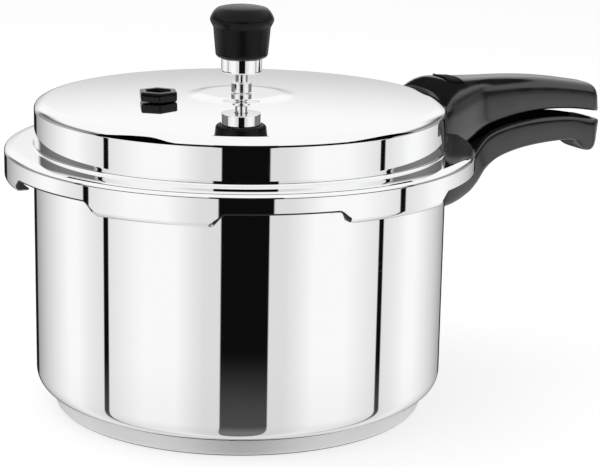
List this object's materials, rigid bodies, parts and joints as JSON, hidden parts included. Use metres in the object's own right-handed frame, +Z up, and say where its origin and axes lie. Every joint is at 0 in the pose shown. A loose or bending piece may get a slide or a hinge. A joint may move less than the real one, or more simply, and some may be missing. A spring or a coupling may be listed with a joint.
{
  "type": "pressure cooker",
  "caption": "Stovetop pressure cooker: mirror steel pot with a sandwich base, a bayonet outer lid, a lifting weight valve, a safety plug and long moulded handles.",
  "frame": {"origin": "centre of the base's underside, where the pot axis meets the hob", "axes": "+Z up the pot axis, +X along both handles, +Y to the left of someone holding them"},
  "size_m": [0.3564, 0.2506, 0.2148],
  "materials": {
    "mirror_steel": "mirror polished stainless sheet",
    "satin_steel": "satin turned or brushed steel",
    "aluminium": "plain disc hidden in the base",
    "brass": "machined nut",
    "bakelite": "satin moulded phenolic",
    "silicone": "matt moulded rubber",
    "fusible_alloy": "cast soft metal"
  },
  "bodies": {
    "pot": {"pot_vessel": "mirror_steel", "base_cap": "satin_steel", "base_core": "aluminium", "body_bracket": "satin_steel", "body_handle": "bakelite", "body_handle_screw": "satin_steel"},
    "lid": {"lid_shell": "mirror_steel", "sealing_gasket": "silicone", "lid_bracket": "satin_steel", "lid_handle": "bakelite", "lid_handle_screw": "satin_steel", "vent_pipe": "mirror_steel", "vent_washer": "silicone", "vent_nut": "brass", "safety_valve_body": "bakelite", "safety_plug_core": "fusible_alloy", "safety_valve_washer": "silicone", "safety_valve_nut": "brass"},
    "weight": {"weight_slug": "mirror_steel", "weight_knob": "bakelite", "weight_needle": "satin_steel", "weight_clip": "satin_steel"}
  },
  "joints": [
    {"name": "lid_turn", "type": "hinge", "parent": "pot", "child": "lid", "pos_m": [0, 0, 0.141], "axis": [0, 0, 1], "range_deg": [0, 30]},
    {"name": "weight_lift", "type": "slide", "parent": "lid", "child": "weight", "axis": [0, 0, 1], "range_m": [0, 0.025]}
  ]
}
